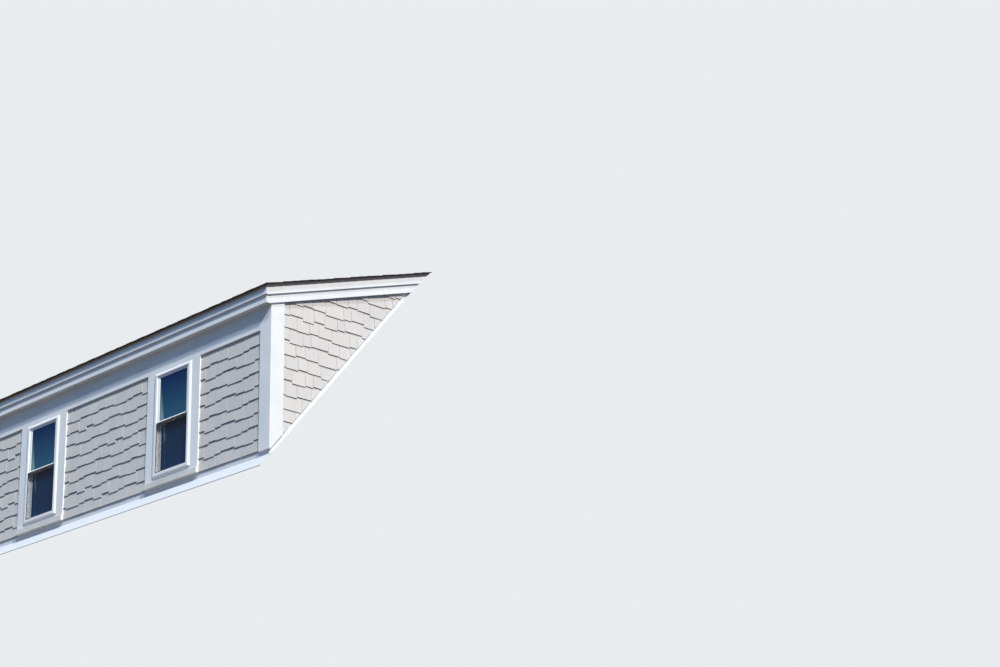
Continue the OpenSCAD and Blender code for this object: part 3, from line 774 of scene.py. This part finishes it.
def coated_glass():
    material, tree = new_material("coated_double_glass")
    place = add(tree, "SeparateXYZ", {"Vector": add(tree, "TexCoord").outputs["Object"]})
    height = place.outputs["Z"]
    side = add(tree, "Math", {0: place.outputs["X"]}, operation="SIGN")
    middle = add(tree, "Math", {0: side, 1: window_x}, operation="MULTIPLY")
    across = add(tree, "Math", {0: place.outputs["X"], 1: middle}, operation="SUBTRACT")

    # Painted reflection: the lower pane's blue, a little paler towards its foot.
    down_lower = add(tree, "MapRange", {
        "Value": height, "From Min": LOWER_HEAD, "From Max": GLASS_FOOT})
    lower = add(tree, "Mix", {
        "Factor": down_lower, "A": hex_colour("1c4c6e"), "B": hex_colour("1c5080")},
        data_type="RGBA")
    # Painted sunlight: a pale strip of curtain behind the lower pane, its left edge slanting.
    fold_left = add(tree, "MapRange", {
        "Value": height, "From Min": LOWER_HEAD, "From Max": FOLD_FOOT,
        "To Min": FOLD_LEFT_AT_HEAD, "To Max": FOLD_LEFT_AT_FOOT})
    past_left = add(tree, "Math", {0: across, 1: fold_left}, operation="SUBTRACT")
    right_of_left = add(tree, "MapRange", {"Value": past_left, "From Min": 0, "From Max": 0.012})
    left_of_right = add(tree, "MapRange", {
        "Value": across, "From Min": FOLD_RIGHT_SOFT, "From Max": FOLD_RIGHT})
    in_painted_lit_fold = add(tree, "Math", {0: right_of_left, 1: left_of_right}, operation="MULTIPLY")
    with_painted_lit_fold = add(tree, "Mix", {
        "Factor": in_painted_lit_fold, "A": lower, "B": hex_colour("86a89f")}, data_type="RGBA")

    # Painted reflection of the sky: the upper pane is deep blue at its head, paler lower down.
    down_upper = add(tree, "MapRange", {
        "Value": height, "From Min": GLASS_HEAD, "From Max": UPPER_FOOT})
    upper = add(tree, "Mix", {
        "Factor": down_upper, "A": hex_colour("002a58"), "B": hex_colour("2a5c76")},
        data_type="RGBA")
    in_upper = add(tree, "MapRange", {
        "Value": height, "From Min": RAIL_FOOT, "From Max": RAIL_HEAD})
    painted_panes = add(tree, "Mix", {"Factor": in_upper, "A": with_painted_lit_fold, "B": upper}, data_type="RGBA")

    # Painted shadow edge: the curtain shows only to the left of this slanting line.
    shade_edge = add(tree, "MapRange", {
        "Value": height, "From Min": GLASS_HEAD, "From Max": SHADE_EDGE_FOOT,
        "To Min": SHADE_EDGE_AT_HEAD, "To Max": SHADE_EDGE_AT_FOOT})
    past_shade_edge = add(tree, "Math", {0: shade_edge, 1: across}, operation="SUBTRACT")
    left_of_shade_edge = add(tree, "MapRange", {"Value": past_shade_edge, "From Min": -0.01, "From Max": 0.02})
    in_painted_curtain_light = add(tree, "Math", {0: left_of_shade_edge, 1: in_upper}, operation="MULTIPLY")
    # Painted sunlight on the curtain, darkening towards the head as painted shade.
    painted_lit_cloth = add(tree, "Mix", {
        "Factor": down_upper, "A": hex_colour("2f4a5c"), "B": hex_colour("86a3a0")},
        data_type="RGBA")
    shown = add(tree, "Mix", {"Factor": in_painted_curtain_light, "A": painted_panes, "B": painted_lit_cloth}, data_type="RGBA")
    glass = add(tree, "BsdfPrincipled", {
        "Base Color": shown, "Roughness": 0.03, "IOR": 1.5, "Specular IOR Level": 0.03})
    add(tree, "OutputMaterial", {"Surface": glass})
    return material


finish(coated_glass(), "window_glass")

# %% [markdown]
# ## Sawn timber
# Behind the finish the dormer is a frame of sawn spruce under strand board. Its grain is noise
# stretched along each member, with darker rings and a knot here and there. Plates, studs and
# rafters lie in different directions, so each of them gets the same timber turned its way.

# %% Framing timber
KNOT_SPACING = 130 * MM


def sawn_spruce(name, sizes, turn=0.0):
    material, tree = new_material(name)
    space = pattern_space(tree, sizes, turn)
    rings = add(tree, "TexNoise", {
        "Vector": space, "Scale": 1, "Detail": 3, "Distortion": 0.6})
    fibre = add(tree, "TexNoise", {"Vector": space, "Scale": 4, "Detail": 5})
    knots = add(tree, "TexVoronoi", {
        "Vector": pattern_space(tree, (KNOT_SPACING, KNOT_SPACING, KNOT_SPACING)),
        "Scale": 1, "Randomness": 1})
    in_rings = add(tree, "MapRange", {"Value": rings, "From Min": 0.4, "From Max": 0.65})
    ringed = add(tree, "Mix", {
        "Factor": in_rings, "A": hex_colour("e0c193"), "B": hex_colour("c79a66")},
        data_type="RGBA")
    in_fibre = add(tree, "MapRange", {
        "Value": fibre, "From Min": 0.5, "From Max": 0.8, "To Max": 0.35})
    fibrous = add(tree, "Mix", {
        "Factor": in_fibre, "A": ringed, "B": hex_colour("a87a4a")}, data_type="RGBA")
    in_knot = add(tree, "MapRange", {"Value": knots, "From Min": 0.1, "From Max": 0.05})
    knotty = add(tree, "Mix", {
        "Factor": in_knot, "A": fibrous, "B": hex_colour("6e4324")}, data_type="RGBA")
    sawn = add(tree, "Bump", {"Height": fibre, "Distance": 0.5 * MM, "Strength": 0.5})
    timber = add(tree, "BsdfPrincipled", {
        "Base Color": knotty, "Roughness": 0.7, "Normal": sawn})
    add(tree, "OutputMaterial", {"Surface": timber})
    return material


GRAIN = 9 * MM
MEMBER = 900 * MM
finish(sawn_spruce("spruce_along_the_front", (MEMBER, GRAIN, GRAIN)),
       "front_sole_plate", "rafter_sleeper", "front_top_plate", "front_cap_plate",
       "window_headers", "rough_sills")
finish(sawn_spruce("spruce_upright", (GRAIN, GRAIN, MEMBER)),
       "front_studs", "jack_studs", "left_cheek_studs", "right_cheek_studs")
finish(sawn_spruce("spruce_up_the_dormer_roof", (GRAIN, MEMBER, GRAIN), DORMER_ANGLE),
       "rafters", "left_cheek_plate", "right_cheek_plate", "left_rake_packer", "right_rake_packer")
finish(sawn_spruce("spruce_up_the_seat", (GRAIN, MEMBER, GRAIN), math.atan(SEAT_SLOPE)),
       "left_sole_plate", "right_sole_plate")

# %% [markdown]
# ## Strand board
# The sheathing is pressed from flakes of wood as long as a finger, laid crosswise. Two patterns
# of stretched cells, one along each way, are bent a little by noise, and patches of the board
# take one or the other. That gives the jumble of flakes without modelling any of them.

# %% Pressed flakes
def strand_board():
    material, tree = new_material("strand_board")
    shades = []
    for sizes in ((80 * MM, 80 * MM, 16 * MM), (18 * MM, 18 * MM, 85 * MM)):
        space = pattern_space(tree, sizes)
        noise = add(tree, "TexNoise", {"Vector": space, "Scale": 0.7})
        bent = add(tree, "Mix", {
            "Factor": 0.25, "A": space, "B": noise.outputs["Color"]}, data_type="RGBA")
        flake = add(tree, "TexVoronoi", {"Vector": bent, "Scale": 1})
        shades.append(add(tree, "SeparateColor", {"Color": flake.outputs["Color"]}))
    patches = add(tree, "TexNoise", {
        "Vector": pattern_space(tree, (60 * MM, 60 * MM, 60 * MM)), "Scale": 1})
    choice = add(tree, "MapRange", {"Value": patches, "From Min": 0.48, "From Max": 0.52})
    flakes = add(tree, "Mix", {"Factor": choice, "A": shades[0], "B": shades[1]})
    wood = add(tree, "Mix", {
        "Factor": flakes, "A": hex_colour("b98a56"), "B": hex_colour("dcbd8b")},
        data_type="RGBA")
    pressed = add(tree, "Bump", {"Height": flakes, "Distance": 0.5 * MM, "Strength": 0.6})
    board = add(tree, "BsdfPrincipled", {
        "Base Color": wood, "Roughness": 0.75, "Normal": pressed})
    add(tree, "OutputMaterial", {"Surface": board})
    return material


finish(strand_board(), "front_sheathing", "left_sheathing", "right_sheathing", "roof_deck")

# %% [markdown]
# ## Floor and sky
# The dormer hangs high up, as it would on a building, and is seen from below, so the floor lies
# far under it. The floor looks pale, yet it lights the dormer's undersides as weakly as dark
# ground would, and the sky looks white, yet fills the shade with blue. So there are two floors
# and two skies: one of each is seen by the camera and in gloss, and the other lights the dormer.
# Light Path tells the two apart. Seen from below the floor is clear, so that it hides nothing.

# %% Floor
FLOOR_Z = -9.0
FLOOR_SIZE = 400


def seen_rays(tree):
    """1 for rays that show the background, 0 for those that only light the dormer."""
    rays = add(tree, "LightPath").outputs
    direct = add(tree, "Math", {0: rays["Is Camera Ray"], 1: rays["Is Glossy Ray"]},
                 operation="MAXIMUM")
    return add(tree, "Math", {0: direct, 1: rays["Is Transmission Ray"]}, operation="MAXIMUM")


def floor_finish():
    material, tree = new_material("pale_floor")
    speck = add(tree, "TexNoise", {
        "Vector": pattern_space(tree, (2.0, 2.0, 2.0)), "Scale": 1, "Detail": 3})
    pale = add(tree, "Mix", {
        "Factor": speck, "A": hex_colour("d0c5b7"), "B": hex_colour("d8cdc0")},
        data_type="RGBA")
    ground = add(tree, "Mix", {
        "Factor": seen_rays(tree), "A": hex_colour("3a3530"), "B": pale}, data_type="RGBA")
    top = add(tree, "BsdfPrincipled", {"Base Color": ground, "Roughness": 0.9})
    clear = add(tree, "BsdfTransparent")
    below = add(tree, "NewGeometry").outputs["Backfacing"]
    one_way = add(tree, "MixShader", {0: below, 1: top, 2: clear})
    add(tree, "OutputMaterial", {"Surface": one_way})
    return material


bpy.ops.object.select_all(action="DESELECT")
bpy.ops.mesh.primitive_plane_add(size=FLOOR_SIZE, location=(0, 0, FLOOR_Z))
floor = bpy.context.object
floor.name = "floor"
floor.data.materials.append(floor_finish())
print("floor at", FLOOR_Z, "m")

# %% Sky
world = bpy.data.worlds.new("studio_sky")
world.use_nodes = True
sky = world.node_tree
sky.nodes.clear()
fill = add(sky, "Background", {"Color": hex_colour("58abff"), "Strength": 0.4})
backdrop = add(sky, "Background", {"Color": hex_colour("e9ecef"), "Strength": 1})
mixed = add(sky, "MixShader", {0: seen_rays(sky), 1: fill, 2: backdrop})
add(sky, "OutputWorld", {"Surface": mixed})
bpy.context.scene.world = world
print("sky:", world.name)

# %% [markdown]
# ## Light
# The sun stands far round to the right, so it lights the cheek fully and only grazes the front.
# A second, wider lamp stands for the bright haze beside it and opens up the front. Both shine
# from a direction and not from a place, as daylight does.

# %% Sun and haze
def lamp(name, direction, energy, colour, angle):
    """A lamp so far away that its light comes from one direction, softened by its angle."""
    bpy.ops.object.light_add(type="SUN")
    made = bpy.context.object
    made.name = name
    made.data.energy = energy
    made.data.angle = math.radians(angle)
    made.data.color = hex_colour(colour)[:3]
    made.rotation_euler = direction.to_track_quat("Z", "Y").to_euler()
    print(name, "from", [round(v, 2) for v in direction.normalized()])


SUN_FROM = Vector((2.85, -1.0, 2.42))
HAZE_FROM = Vector((0.95, -1.0, 1.9))
lamp("soft_sun", SUN_FROM, energy=3.4, colour="fff8ee", angle=1)
lamp("high_haze", HAZE_FROM, energy=1.9, colour="e0efff", angle=8)

# %% [markdown]
# ## Camera
# The camera stands low and far off on the right, and looks up. The photograph is framed off its
# axis, with its uprights kept nearly parallel, as a view camera does it. Turning the camera
# further up would make them lean, so a small shift of the lens gives that framing.

# %% Camera
CAMERA_PLACE = Vector((19.4556, -13.2018, -6.5603))
CAMERA_TURN = (107.3039, 0.731, 45.9111)
LENS = 74.5458
SHIFT_X, SHIFT_Y = 0.0335, 0.114
FAR = 1000
bpy.ops.object.camera_add(location=CAMERA_PLACE, rotation=[math.radians(a) for a in CAMERA_TURN])
camera = bpy.context.object
camera.name = "photo_camera"
camera.data.lens = LENS
camera.data.shift_x = SHIFT_X
camera.data.shift_y = SHIFT_Y
camera.data.clip_end = FAR
bpy.context.scene.camera = camera
bpy.context.scene.view_settings.view_transform = "Standard"
print("camera", round(CAMERA_PLACE.length, 1), "m away")
